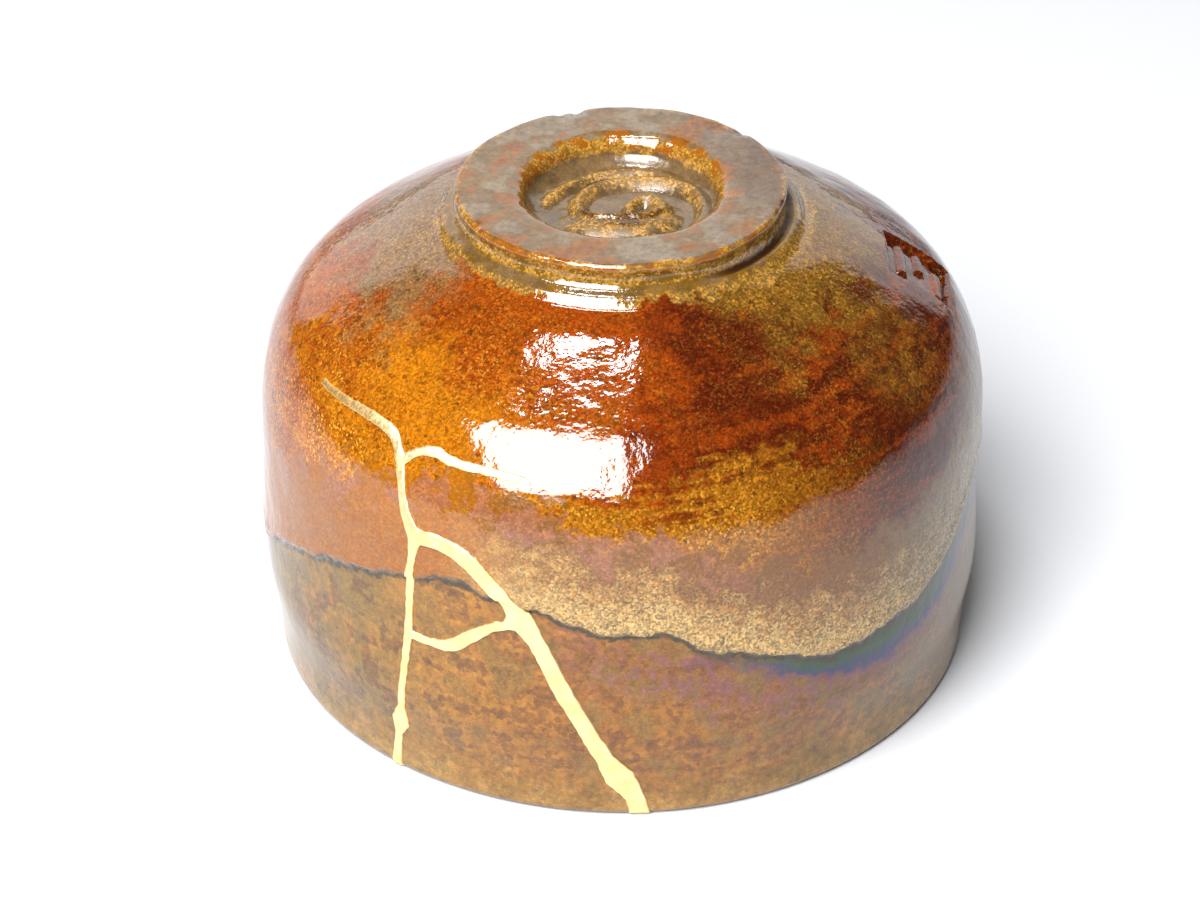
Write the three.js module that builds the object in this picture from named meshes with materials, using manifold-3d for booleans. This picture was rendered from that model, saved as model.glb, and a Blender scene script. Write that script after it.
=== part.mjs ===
// A kintsugi tea bowl, turned over to stand on its rim with the foot ring up.
// Millimetres, +Z up. The origin is the centre of the rim, on the surface that the bowl stands on.
// The mended side faces -Y. Azimuths are degrees round the bowl from -Y, positive towards +X.
import * as THREE from "three";
import { mergeVertices } from "three/addons/utils/BufferGeometryUtils.js";
import Module from "manifold-3d";

const wasm = await Module();
wasm.setup();

// Driving dimensions
const HEIGHT = 82.6; // rim to foot ring
const WIDEST = 60; // outer radius where the side swells most
const WALL = 5.6; // thickness of the side
const FLOOR = 7.6; // thickness between the inside and the recess under the foot
const LIP_ROUNDING = 1.4; // the rim's rounded corners, with a flat between them
const FOOT_RADIUS = 26.8;
const FOOT_HEIGHT = 4.4;
const RECESS_RADIUS = 15.6;
const RECESS_DEPTH = 5.4;
const SEAL_SIZE = 13; // the square impression on the shoulder
const SEAL_DEPTH = 2; // measured level, so about half of it square to the sloping shoulder
const SEAM_GAP = 0.3; // between the gold and each broken edge
const SEAM_PROUD = 0.3; // how far the gold stands out of the clay
const SEGMENTS = 54; // facets round the bowl

// The side's outline from rim to foot: [share of WIDEST, share of HEIGHT]
const SIDE = [
  [0.968, 0.0],
  [0.975, 0.095],
  [0.998, 0.21],
  [0.994, 0.34],
  [0.99, 0.47],
  [0.984, 0.585],
  [0.945, 0.69],
  [0.862, 0.775],
  [0.7, 0.853],
  [0.555, 0.91],
  [0.483, 0.947],
];

// The cracks: [azimuth, height, width] along each, named for where it runs.
const FORK = [-32.8, 48.4, 2.6];
const BRANCHING = [-37.7, 58.7, 1.7];
const SHARD_CORNER = [-34.7, 29.4, 1.6];
const CROSSING = [-15.8, 37.9, 4.4];
const CRACKS = {
  shoulder: [
    [-61, 62, 0.9], [-56, 62, 1], [-51, 62.1, 1.2], [-45, 62.1, 1.3], [-40, 61.1, 1.5], BRANCHING,
  ],
  twig: [
    BRANCHING, [-34.5, 60.8, 1.2], [-32, 61.3, 1.4], [-29, 60.8, 1.3], [-23, 60.7, 1.1], [-15, 60.3, 0.9],
  ],
  trunk: [BRANCHING, [-36.3, 55.5, 1.5], [-35, 52, 1.8], FORK],
  left: [FORK, [-33.3, 44.6, 1.4], [-34, 40, 1.6], [-34.4, 34, 1.4], SHARD_CORNER],
  leftFoot: [
    SHARD_CORNER, [-35.6, 22.5, 1.4], [-36.8, 14, 1.5],
    [-37.5, 10.6, 3.6], [-38.4, 7.4, 1.5], [-39.6, -1, 2.2],
  ],
  right: [FORK, [-28.6, 48.5, 2.4], [-24.2, 47, 2.9], [-20.2, 43.3, 2.9], [-17.4, 40.3, 2.8], CROSSING],
  rightFoot: [
    CROSSING, [-13.4, 34, 3], [-10, 26.5, 3.1], [-6.3, 19, 2.9],
    [-3.3, 12.5, 3.2], [-0.9, 8, 5], [1.3, 4, 3.2], [2.4, -1, 3.6],
  ],
  link: [
    SHARD_CORNER, [-31, 29.3, 1.4], [-27, 30, 2.5], [-23.5, 32.8, 2.4],
    [-20, 35.3, 1.7], [-18, 36.1, 1.8], CROSSING,
  ],
};

// The swirl in the recess, and the slope in front of it: [x, y, lift] of each ridge's middle.
// Every ridge sinks into the clay at both ends.
const SWIRL = [
  [1, -2, -1.8], [1.4, 0.6, 0], [3.4, 2.6, 0.2], [5.9, 1.6, 0.3], [6.6, -1.4, 0.3], [4.4, -4, 0.4],
  [0, -4.4, 0.4], [-4.4, -4, 0.4], [-6.8, -1.2, 0.3], [-6.6, 3.2, 0.2], [-4, 7, 0.1], [0.6, 8.8, 0],
  [6, 8.8, 0.1], [10.8, 5.8, 0.1], [13, 1, 0.1], [12.6, -5, 0], [9, -10, -0.6], [4.6, -12.4, -1.9],
];
const OUTER_SWIRL = [
  [-12.6, 0, -1.9], [-11.2, 4, 0], [-8.2, 7.8, 0.1], [-3.6, 10.6, 0.1],
  [1.4, 11.6, 0], [6, 10.8, -0.6], [9.4, 8.6, -1.9],
];
const APRON = [
  [-8.6, -1.2, -1.9], [-6.4, -5, -0.7], [-2, -6.6, -0.5], [3, -6.6, -0.5], [6.8, -4.6, -0.7], [8, -1, -1.9],
];
const RIDGE_WIDTH = 2.8;
const RIDGE_HEIGHT = 3;

const recessFloor = HEIGHT - RECESS_DEPTH;
const insideFloor = recessFloor - FLOOR;
const toRadians = THREE.MathUtils.degToRad;

// The side's outline as a curve; sideRadius reads it at a height.
const side = new THREE.SplineCurve(SIDE.map(([r, z]) => new THREE.Vector2(r * WIDEST, z * HEIGHT)));
const sidePoints = side.getPoints(200);
function sideRadius(z) {
  const after = Math.max(1, sidePoints.findIndex((p) => p.y >= z));
  const [a, b] = [sidePoints[after - 1], sidePoints[after]];
  return THREE.MathUtils.mapLinear(z, a.y, b.y, a.x, b.x);
}

// The palm's and the trimming knife's unevenness, in millimetres outwards at the widest radius.
function unevenness(azimuth, z) {
  const oval = 0.22 * Math.cos(2 * azimuth + 0.6);
  const waves = 0.14 * Math.cos(3 * azimuth - 1.1) + 0.08 * Math.cos(5 * azimuth + z / 14);
  const shoulder = Math.exp(-(((z - 0.83 * HEIGHT) / 7) ** 2));
  const facets = 0.5 + 0.5 * Math.cos(3 * azimuth - 0.5);
  return oval + waves - 0.5 * shoulder * facets;
}

// Moves a vertex outwards by the unevenness, which fades towards the axis.
function formByHand(geometry) {
  const position = geometry.getAttribute("position");
  const at = new THREE.Vector3();
  for (let i = 0; i < position.count; i++) {
    at.fromBufferAttribute(position, i);
    const radius = Math.hypot(at.x, at.y);
    const azimuth = Math.atan2(at.x, -at.y);
    const share = 1 + unevenness(azimuth, at.z) / WIDEST;
    position.setXYZ(i, at.x * share, at.y * share, at.z);
  }
  return geometry;
}

function solidFrom(geometry) {
  const bare = geometry.clone();
  bare.deleteAttribute("normal");
  bare.deleteAttribute("uv");
  const merged = mergeVertices(bare, 1e-4);
  return new wasm.Manifold(
    new wasm.Mesh({
      numProp: 3,
      vertProperties: merged.getAttribute("position").array,
      triVerts: new Uint32Array(merged.getIndex().array),
    }),
  );
}

function meshFrom(solid, name, material) {
  const { vertProperties, triVerts } = solid.getMesh();
  const geometry = new THREE.BufferGeometry();
  geometry.setAttribute("position", new THREE.BufferAttribute(vertProperties, 3));
  geometry.setIndex(new THREE.BufferAttribute(triVerts, 1));
  geometry.computeVertexNormals();
  const mesh = new THREE.Mesh(geometry, material);
  mesh.name = name;
  return mesh;
}

// Points of a quarter circle between two corners of an outline.
function roundCorner(centreX, centreZ, radius, fromDegrees, toDegrees, steps) {
  return Array.from({ length: steps + 1 }, (_, i) => {
    const angle = toRadians(fromDegrees + ((toDegrees - fromDegrees) * i) / steps);
    return new THREE.Vector2(centreX + radius * Math.cos(angle), centreZ + radius * Math.sin(angle));
  });
}

// The foot ring's outline from the middle of its recess to where it meets the side.
function footOutline() {
  const innerRounding = 2.2;
  const outerRounding = 0.7;
  const topInner = RECESS_RADIUS + innerRounding;
  const topOuter = FOOT_RADIUS - outerRounding;
  return [
    new THREE.Vector2(0, recessFloor),
    new THREE.Vector2(RECESS_RADIUS - 0.3, recessFloor),
    ...roundCorner(topInner, HEIGHT - innerRounding, innerRounding, 180, 90, 3),
    ...roundCorner(topOuter, HEIGHT - outerRounding, outerRounding, 90, 0, 2),
    new THREE.Vector2(FOOT_RADIUS - 0.3, HEIGHT - 0.6 * FOOT_HEIGHT),
    new THREE.Vector2(FOOT_RADIUS - 0.1, HEIGHT - 0.88 * FOOT_HEIGHT),
  ];
}

// The side from the foot down to the rim's flat, standing out by extra.
function sideOutline(extra) {
  const steps = 15;
  const fromZ = LIP_ROUNDING;
  const toZ = side.getPoint(1).y;
  const points = [];
  for (let i = steps; i >= 0; i--) {
    const z = THREE.MathUtils.lerp(fromZ, toZ, 1 - (1 - i / steps) ** 1.35);
    points.push(new THREE.Vector2(sideRadius(z) + extra, z));
  }
  const lipCentre = sideRadius(0) + extra - LIP_ROUNDING;
  return [...points, ...roundCorner(lipCentre, LIP_ROUNDING, LIP_ROUNDING, -30, -90, 2)];
}

// The inside: straight up from the rim, then round like a superellipse to the middle of the floor.
function insideOutline(extra) {
  const springing = 0.5 * HEIGHT;
  const rimInner = sideRadius(0) - WALL - extra;
  const widest = sideRadius(springing) - WALL - extra;
  const steps = 9;
  const bend = 2 / 3;
  const points = roundCorner(rimInner + LIP_ROUNDING, LIP_ROUNDING, LIP_ROUNDING, -90, -180, 2);
  for (const z of [springing / 3, (2 * springing) / 3]) {
    points.push(new THREE.Vector2(sideRadius(z) - WALL - extra, z));
  }
  const rise = insideFloor + extra - springing;
  for (let i = 0; i <= steps; i++) {
    const angle = toRadians((90 * i) / steps);
    const x = i === steps ? 0 : widest * Math.cos(angle) ** bend;
    points.push(new THREE.Vector2(x, springing + rise * Math.sin(angle) ** bend));
  }
  return points;
}

// The whole bowl as one solid; extra thickens its side outwards and inwards alike.
function bowlSolid(extra = 0) {
  const outline = [...footOutline(), ...sideOutline(extra), ...insideOutline(extra)];
  return solidFrom(formByHand(new THREE.LatheGeometry(outline.reverse(), SEGMENTS).rotateX(Math.PI / 2)));
}

// A raised ridge along a route over the recess floor.
function ridge(route, steps) {
  const middle = route.map(([x, y, lift]) => new THREE.Vector3(x, y, recessFloor + lift));
  const path = new THREE.CatmullRomCurve3(middle);
  const section = new THREE.Shape();
  section.absellipse(0, 0, RIDGE_HEIGHT / 2, RIDGE_WIDTH / 2, 0, 2 * Math.PI);
  const sweep = { extrudePath: path, steps, curveSegments: 4 };
  return solidFrom(new THREE.ExtrudeGeometry(section, sweep));
}

// The seal's square hollow with rows of short raised strokes on its floor.
function sealCutter() {
  const azimuth = toRadians(90.5);
  const z = 0.802 * HEIGHT;
  const slope = (sideRadius(z + 2) - sideRadius(z - 2)) / 4;
  const radial = new THREE.Vector3(Math.sin(azimuth), -Math.cos(azimuth), 0);
  const along = new THREE.Vector3(Math.cos(azimuth), Math.sin(azimuth), 0);
  const outwards = radial.clone().addScaledVector(new THREE.Vector3(0, 0, 1), -slope).normalize();
  const upwards = new THREE.Vector3().crossVectors(outwards, along);
  const place = new THREE.Matrix4().makeBasis(along, upwards, outwards);
  place.setPosition(radial.multiplyScalar(sideRadius(z)).setZ(z));

  const block = (x, y, width, length) => {
    const box = new THREE.BoxGeometry(width, length, 3 * SEAL_DEPTH);
    return solidFrom(box.translate(x, y, 0).applyMatrix4(place));
  };
  const hollow = block(0, 0, SEAL_SIZE, SEAL_SIZE).subtract(bowlSolid(-SEAL_DEPTH));
  const rows = [[-1.6, 7.4], [1.8, 5.6], [0.2, 8.6]]; // each stroke's middle and length
  const strokes = rows.map(([x, length], row) => block(x, (row - 1) * 3.6, length, 1.4));
  return hollow.subtract(wasm.Manifold.union(strokes).intersect(bowlSolid(-0.4 * SEAL_DEPTH)));
}

// One crack as a band of its own width, run right through the wall and bent round the bowl.
function crackBand(stations, narrowing) {
  const unrolled = WIDEST; // radius at which an azimuth is laid out flat
  const route = new THREE.CatmullRomCurve3(
    stations.map(([azimuth, z, width]) => new THREE.Vector3(toRadians(azimuth) * unrolled, z, width)),
    false,
    "centripetal",
  );
  const count = 2 * (stations.length - 1);
  const right = [];
  const left = [];
  for (let i = 0; i <= count; i++) {
    const { x, y, z: width } = route.getPoint(i / count);
    const tangent = route.getTangent(i / count).setZ(0).normalize();
    const reach = width / 2 - narrowing;
    const overrun = i === 0 ? -reach : i === count ? reach : 0;
    const [endX, endY] = [x + tangent.x * overrun, y + tangent.y * overrun];
    const pull = overrun ? 0.55 : 1; // blunt, rounded ends
    right.push(new THREE.Vector2(endX + tangent.y * reach * pull, endY - tangent.x * reach * pull));
    left.unshift(new THREE.Vector2(endX - tangent.y * reach * pull, endY + tangent.x * reach * pull));
  }
  const innermost = 0.6 * WIDEST;
  const depth = 0.6 * WIDEST;
  const outline = new THREE.Shape([...right, ...left]);
  const band = new THREE.ExtrudeGeometry(outline, { depth, bevelEnabled: false });
  const position = band.getAttribute("position");
  for (let i = 0; i < position.count; i++) {
    const azimuth = position.getX(i) / unrolled;
    const radius = innermost + position.getZ(i);
    position.setXYZ(i, radius * Math.sin(azimuth), -radius * Math.cos(azimuth), position.getY(i));
  }
  return solidFrom(band);
}

function allCracks(narrowing) {
  return wasm.Manifold.union(Object.values(CRACKS).map((stations) => crackBand(stations, narrowing)));
}

const swirl = ridge(SWIRL, 48).add(ridge(OUTER_SWIRL, 18)).add(ridge(APRON, 14));
const whole = bowlSolid().add(swirl).subtract(sealCutter());
const broken = whole.subtract(allCracks(-SEAM_GAP / 2)).decompose();
const [body, rimShard, wallShard] = broken.sort((a, b) => b.volume() - a.volume());
const seam = bowlSolid(SEAM_PROUD).intersect(allCracks(SEAM_GAP / 2));

const glaze = new THREE.MeshStandardMaterial({ color: 0x8f4a17, roughness: 0.2, metalness: 0.1 });
const gold = new THREE.MeshStandardMaterial({ color: 0xe9c877, roughness: 0.3, metalness: 1 });

const bowl = new THREE.Group();
bowl.add(meshFrom(body, "bowl_body", glaze));
bowl.add(meshFrom(rimShard, "rim_shard", glaze));
bowl.add(meshFrom(wallShard, "wall_shard", glaze));
bowl.add(meshFrom(seam, "gold_seam", gold));

export default bowl;
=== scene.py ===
"""A kintsugi tea bowl, turned over on its rim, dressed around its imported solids."""
import math

import bpy
import numpy as np
from mathutils import Matrix, Vector
from mathutils.bvhtree import BVHTree
from mathutils.noise import noise


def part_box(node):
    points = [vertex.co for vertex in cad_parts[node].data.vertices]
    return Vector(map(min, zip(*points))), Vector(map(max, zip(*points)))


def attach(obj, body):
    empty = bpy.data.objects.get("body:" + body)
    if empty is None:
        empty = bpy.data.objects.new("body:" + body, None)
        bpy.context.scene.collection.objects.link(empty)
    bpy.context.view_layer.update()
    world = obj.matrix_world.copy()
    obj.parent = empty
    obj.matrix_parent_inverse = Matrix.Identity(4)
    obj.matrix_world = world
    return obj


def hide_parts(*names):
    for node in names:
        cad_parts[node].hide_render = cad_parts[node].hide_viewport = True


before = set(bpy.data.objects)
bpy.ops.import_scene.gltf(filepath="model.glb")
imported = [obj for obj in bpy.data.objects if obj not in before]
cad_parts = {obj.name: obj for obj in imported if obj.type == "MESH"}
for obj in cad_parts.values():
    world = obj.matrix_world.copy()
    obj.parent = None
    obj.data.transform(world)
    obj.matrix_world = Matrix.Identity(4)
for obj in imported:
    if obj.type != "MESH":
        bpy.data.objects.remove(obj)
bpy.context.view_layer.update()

bl_info = {
    "name": "Kintsugi tea bowl",
    "version": (1, 0, 0),
    "blender": (4, 5, 0),
    "location": "3D View > Sidebar > Bowl",
    "description": "Throws, glazes, breaks and mends a tea bowl that stands turned over on its rim",
    "category": "Add Mesh",
}

MM = 0.001
BODY_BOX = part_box("bowl_body")
HEIGHT = BODY_BOX[1].z / MM
WIDEST = 60.0  # outer radius where the side swells most
WALL = 5.6
FLOOR = 7.6
LIP_ROUNDING = 1.4
FOOT_RADIUS = 26.8
RECESS_RADIUS = 15.6
RECESS_DEPTH = 5.4
RECESS_FLOOR = HEIGHT - RECESS_DEPTH
INSIDE_FLOOR = RECESS_FLOOR - FLOOR

# The side's outline from rim to foot: [share of WIDEST, share of HEIGHT]
SIDE = [
    (0.968, 0.0), (0.975, 0.095), (0.998, 0.21), (0.994, 0.34), (0.99, 0.47), (0.984, 0.585),
    (0.945, 0.69), (0.862, 0.775), (0.7, 0.853),
]
# The shallow hollow that the outline goes on through, round the foot, in the same shares.
HOLLOW = [(0.575, 0.9045), (0.51, 0.9248)]
# The glaze that has pooled against the foot: [radius, height] from its edge up to the foot.
POOL = [
    (30.3, 76.49), (30, 76.68), (29.6, 77.02), (29.2, 77.5), (28.8, 77.92), (28.3, 78.22),
    (27.7, 78.5), (27.2, 78.8), (26.85, 79.25), (26.6, 79.8), (26.5, 80.3),
]
# The recess's section: [radius, height above its floor], up to the rounding of its mouth.
RECESS = [(0, 0), (8, 0), (11.5, 0.15), (13.6, 0.7), (14.9, 1.6), (15.5, 2.2), (15.6, 2.4)]
# Chips in the foot's edge: [azimuth, radius, depth, size]
CHIPS = [
    (-158, 26, 0.5, 1.1), (-164, 26.2, 0.7, 1.3), (138, 25, 0.35, 2.2), (131, 26.4, 0.5, 1.2),
    (-60, 26.6, 0.4, 1.2),
]

# The cracks: [azimuth, height, width] along each, named for where it runs.
FORK = (-32.8, 48.4, 2.6)
BRANCHING = (-37.7, 58.7, 1.7)
SHARD_CORNER = (-34.7, 29.4, 1.6)
CROSSING = (-15.8, 37.9, 4.4)
CRACKS = {
    "shoulder": [
        (-61, 62, 0.9), (-56, 62, 1), (-51, 62.1, 1.2), (-45, 62.1, 1.3), (-40, 61.1, 1.5), BRANCHING,
    ],
    "twig": [
        BRANCHING, (-34.5, 60.8, 1.2), (-32, 61.3, 1.4), (-29, 60.8, 1.3), (-23, 60.7, 1.1), (-15, 60.3, 0.9),
    ],
    "trunk": [BRANCHING, (-36.3, 55.5, 1.5), (-35, 52, 1.8), FORK],
    "left": [FORK, (-33.3, 44.6, 1.4), (-34, 40, 1.6), (-34.4, 34, 1.4), SHARD_CORNER],
    "left_foot": [
        SHARD_CORNER, (-35.6, 22.5, 1.4), (-36.8, 14, 1.5), (-37.5, 10.6, 3.6),
        (-38.4, 7.4, 1.5), (-39.6, -1, 2.2),
    ],
    "right": [FORK, (-28.6, 48.5, 2.4), (-24.2, 47, 2.9), (-20.2, 43.3, 2.9), (-17.4, 40.3, 2.8), CROSSING],
    "right_foot": [
        CROSSING, (-13.4, 34, 3), (-10, 26.5, 3.1), (-6.3, 19, 2.9),
        (-3.3, 12.5, 3.2), (-0.9, 8, 5), (1.3, 4, 3.2), (2.4, -1, 3.6),
    ],
    "link": [
        SHARD_CORNER, (-31, 29.3, 1.4), (-27, 30, 2.5), (-23.5, 32.8, 2.4),
        (-20, 35.3, 1.7), (-18, 36.1, 1.8), CROSSING,
    ],
}

# The lower edge of the thick glaze: [azimuth, height]
GLAZE_LINE = [
    (-180, 31), (-150, 27), (-120, 24), (-95, 22), (-79, 24), (-68, 29), (-55, 34), (-48, 36.5), (-37, 39.3),
    (-29, 42), (-25, 42.5), (-19, 40.4), (-12, 39.4), (-6.7, 37), (0, 36), (6.7, 36), (11.3, 32.5), (19, 30),
    (29, 27), (36, 25.6), (51, 27.1), (61, 30.4), (71, 35.9), (80, 38), (100, 36),
    (125, 31), (150, 33), (180, 31),
]

# The swirl in the recess: [x, y, height, half width] of each ridge.
SWIRL = [
    (1, -2, 0.6, 1.1), (1.4, 0.6, 1.5, 1.1), (3.4, 2.6, 1.7, 1.2), (5.9, 1.6, 1.9, 1.4),
    (6.6, -1.4, 2.1, 1.6),
    (4.4, -4, 2.3, 1.7), (0, -4.4, 2.3, 1.7), (-4.4, -4, 2.2, 1.7), (-6.8, -1.2, 1.9, 1.5),
    (-6.6, 3.2, 1.6, 1.5),
    (-4, 7, 1.5, 1.6), (0.6, 8.8, 1.5, 1.8), (6, 8.8, 1.6, 1.8), (10.8, 5.8, 1.6, 1.5), (13, 1, 1.5, 1.2),
    (12.6, -5, 1.4, 1.2), (9, -10, 0.8, 1.2), (5.6, -12.4, 0.1, 1.1),
]
OUTER_SWIRL = [
    (-12.6, 0.5, 0.1, 1), (-11.2, 4, 1.1, 1.1), (-8.2, 7.8, 1.3, 1.2), (-3.6, 10.6, 1.4, 1.3),
    (1.4, 11.6, 1.4, 1.4), (6, 10.6, 1.3, 1.6), (9.4, 8.2, 1, 1.6),
]
APRON = [
    (-8, -1, 0.3, 2.4), (-6, -5, 1.4, 2.8), (-2, -6, 1.8, 3.1), (3, -6, 1.8, 3.1),
    (6.4, -4.4, 1.6, 2.8), (7.6, -1, 0.3, 2.2),
]

# The room: radiance of the pale wall and of the rest, and the place that the lights face, in metres.
SURROUND = 1.25
DIM_ROOM = 0.06
LIT_POINT = Vector((0, -0.03, 0.06))

# The camera, in millimetres.
CAMERA_TARGET = Vector((-3.717, 0, 31.795))
CAMERA_DISTANCE = 654.19
CAMERA_RISE = math.radians(32.597)
CAMERA_ROLL = math.radians(0.4013)
LENS = 117.24


# -------------------- settings a user would change

class KintsugiBowlForm(bpy.types.PropertyGroup):
    """Sizes of the thrown bowl."""
    turns: bpy.props.IntProperty(
        name="Steps round", description="How finely the wheel turns the outline",
        default=384, min=48, max=512)
    ring_spacing: bpy.props.FloatProperty(
        name="Ring spacing", description="Distance between the rings up the side",
        default=1.3 * MM, min=0.5 * MM, max=5 * MM, unit="LENGTH")
    glaze_thickness: bpy.props.FloatProperty(
        name="Glaze thickness", description="How far the thick upper glaze stands out of the thin lower one",
        default=0.5 * MM, min=0, max=2 * MM, unit="LENGTH")
    lumps: bpy.props.FloatProperty(
        name="Lumps", description="How uneven the thick glaze lies", default=0.22 * MM, min=0, max=1 * MM,
        unit="LENGTH")
    seal_size: bpy.props.FloatProperty(
        name="Seal size", description="Side of the square impression on the shoulder",
        default=13 * MM, min=5 * MM, max=20 * MM, unit="LENGTH")
    seal_depth: bpy.props.FloatProperty(
        name="Seal depth", description="Depth of the square impression", default=1.1 * MM, min=0, max=2 * MM,
        unit="LENGTH")


class KintsugiSeamForm(bpy.types.PropertyGroup):
    """Sizes of the mend."""
    bead_height: bpy.props.FloatProperty(
        name="Bead height", description="How far the gold stands out of the glaze",
        default=0.34 * MM, min=0.05 * MM, max=1 * MM, unit="LENGTH")
    slit: bpy.props.FloatProperty(
        name="Slit", description="Gap between the broken edges under the gold",
        default=0.7 * MM, min=0.2 * MM, max=1 * MM, unit="LENGTH")
    voxel: bpy.props.FloatProperty(
        name="Fineness", description="Grain in which the gold's lines are melted together",
        default=0.22 * MM, min=0.1 * MM, max=0.5 * MM, unit="LENGTH")


# -------------------- the bowl's form

def spline_through(points, per_span):
    """Points of a smooth curve through the given ones, the same curve as the solids are made on."""
    last = len(points) - 1
    curve = []
    for span in range(last):
        before, start, end, after = (
            np.array(points[min(max(span + shift, 0), last)], float) for shift in (-1, 0, 1, 2))
        leave, arrive = (end - before) / 2, (after - start) / 2
        for i in range(per_span):
            t = i / per_span
            curve.append(
                (2 * start - 2 * end + leave + arrive) * t ** 3
                + (3 * end - 3 * start - 2 * leave - arrive) * t ** 2 + leave * t + start)
    curve.append(np.array(points[-1], float))
    return np.array(curve)


SIDE_CURVE = spline_through([(r * WIDEST, z * HEIGHT) for r, z in SIDE + HOLLOW], 20)


def side_radius(z):
    return np.interp(z, SIDE_CURVE[:, 1], SIDE_CURVE[:, 0])


def evenly(curve, spacing):
    """Points at even distances along a curve."""
    lengths = np.concatenate([[0], np.cumsum(np.linalg.norm(np.diff(curve, axis=0), axis=1))])
    at = np.linspace(0, lengths[-1], max(2, round(lengths[-1] / spacing) + 1))
    xs, zs = (np.interp(at, lengths, curve[:, axis]) for axis in (0, 1))
    return [(float(x), float(z)) for x, z in zip(xs, zs)]


def round_corner(x, z, radius, start, end, steps):
    """Points of a round corner about x, z, from one angle in degrees to another."""
    angles = np.radians(np.linspace(start, end, steps + 1))
    return [(x + radius * math.cos(a), z + radius * math.sin(a)) for a in angles]


def bowl_outline(spacing):
    """Half of the bowl's section in millimetres, from the middle of the recess round to the middle inside."""
    inner_rounding, outer_rounding = 3, 0.9
    top_starts, top_ends = RECESS_RADIUS + inner_rounding, FOOT_RADIUS - outer_rounding
    recess = evenly(spline_through([(r, RECESS_FLOOR + rise) for r, rise in RECESS], 12), 0.36)[:-1]
    recess += round_corner(top_starts, HEIGHT - inner_rounding, inner_rounding, 180, 90, 7)
    foot = [(r, HEIGHT) for r in np.linspace(top_starts + 0.8, top_ends - 0.8, 9)]
    foot += round_corner(top_ends, HEIGHT - outer_rounding, outer_rounding, 90, 0, 5)
    foot += [(FOOT_RADIUS - 0.15, HEIGHT - 1.6)] + evenly(spline_through(POOL[::-1], 6), 0.34)
    lowest = side_radius(0) - LIP_ROUNDING
    side = evenly(SIDE_CURVE[SIDE_CURVE[:, 1] >= LIP_ROUNDING][::-1], spacing)
    lip = round_corner(lowest, LIP_ROUNDING, LIP_ROUNDING, -8, -90, 5)
    inner_lip = side_radius(0) - WALL + LIP_ROUNDING
    lip += [(lowest - 1.4, 0)] + round_corner(inner_lip, LIP_ROUNDING, LIP_ROUNDING, -90, -180, 4)
    springing = 0.5 * HEIGHT
    inside = [(side_radius(z) - WALL, z) for z in np.linspace(LIP_ROUNDING, springing, 13)[1:-1]]
    widest_inside = side_radius(springing) - WALL
    for angle in np.radians(np.linspace(0, 90, 19)[:-1]):
        rise = (INSIDE_FLOOR - springing) * math.sin(angle) ** (2 / 3)
        inside.append((widest_inside * math.cos(angle) ** (2 / 3), springing + rise))
    return recess + foot + side + lip + inside + [(0, INSIDE_FLOOR)]


def unevenness(azimuth, z):
    """The palm's and the trimming knife's unevenness, in millimetres outwards at the widest radius."""
    oval = 0.22 * np.cos(2 * azimuth + 0.6)
    waves = 0.14 * np.cos(3 * azimuth - 1.1) + 0.08 * np.cos(5 * azimuth + z / 14)
    shoulder = np.exp(-(((z - 0.83 * HEIGHT) / 7) ** 2))
    facets = 0.5 + 0.5 * np.cos(3 * azimuth - 0.5)
    return oval + waves - 0.5 * shoulder * facets


def ease(low, high, value):
    """0 below low, 1 above high, and a smooth rise between them."""
    share = np.clip((value - low) / (high - low), 0, 1)
    return share * share * (3 - 2 * share)


def glaze_line(azimuth):
    """Height of the thick glaze's lower edge at azimuths in radians."""
    stops = np.array(GLAZE_LINE, float)
    curve = spline_through(stops, 8)
    return np.interp(np.degrees(azimuth), curve[:, 0], curve[:, 1])


def above_glaze_line(points):
    """How far above the thick glaze's ragged lower edge each point lies, in millimetres."""
    azimuth = np.arctan2(points[:, 0], -points[:, 1])
    ragged = np.array([noise(Vector(p) * 0.28) * 0.9 + noise(Vector(p) * 0.9) * 0.45 for p in points])
    return points[:, 2] - glaze_line(azimuth) + ragged


# -------------------- working on a piece

def take(*pieces):
    """Makes these the only selected pieces, and the last of them the active one."""
    if bpy.context.object and bpy.context.object.mode != "OBJECT":
        bpy.ops.object.mode_set(mode="OBJECT")
    bpy.ops.object.select_all(action="DESELECT")
    for piece in pieces:
        piece.select_set(True)
        bpy.context.view_layer.objects.active = piece


def open_all(piece):
    """Opens the piece in edit mode with everything on it selected."""
    take(piece)
    bpy.ops.object.mode_set(mode="EDIT")
    bpy.ops.mesh.select_mode(type="VERT")
    bpy.ops.mesh.select_all(action="SELECT")


def close_up():
    """Goes back to object mode."""
    bpy.ops.object.mode_set(mode="OBJECT")


def turn_outwards(piece):
    """Makes the faces of a closed piece look outwards."""
    open_all(piece)
    bpy.ops.mesh.normals_make_consistent(inside=False)
    close_up()


def points_of(piece):
    """The piece's points in millimetres."""
    flat = np.empty(3 * len(piece.data.vertices), np.float32)
    piece.data.vertices.foreach_get("co", flat)
    return flat.reshape(-1, 3).astype(float) / MM


def place_points(piece, points):
    piece.data.vertices.foreach_set("co", (points * MM).astype(np.float32).ravel())
    piece.data.update()


def draw_chain(name, points):
    """Draws an open chain of edges through points in millimetres, by extruding one vertex."""
    take()
    bpy.ops.mesh.primitive_plane_add(size=MM, location=Vector(points[0]) * MM)
    piece = bpy.context.object
    piece.name = name
    bpy.ops.object.mode_set(mode="EDIT")
    bpy.ops.mesh.merge(type="CENTER")
    for before, after in zip(points, points[1:]):
        step = (Vector(after) - Vector(before)) * MM
        bpy.ops.mesh.extrude_region_move(TRANSFORM_OT_translate={"value": step})
    close_up()
    bpy.ops.object.transform_apply(location=True, rotation=True, scale=True)
    return piece


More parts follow.
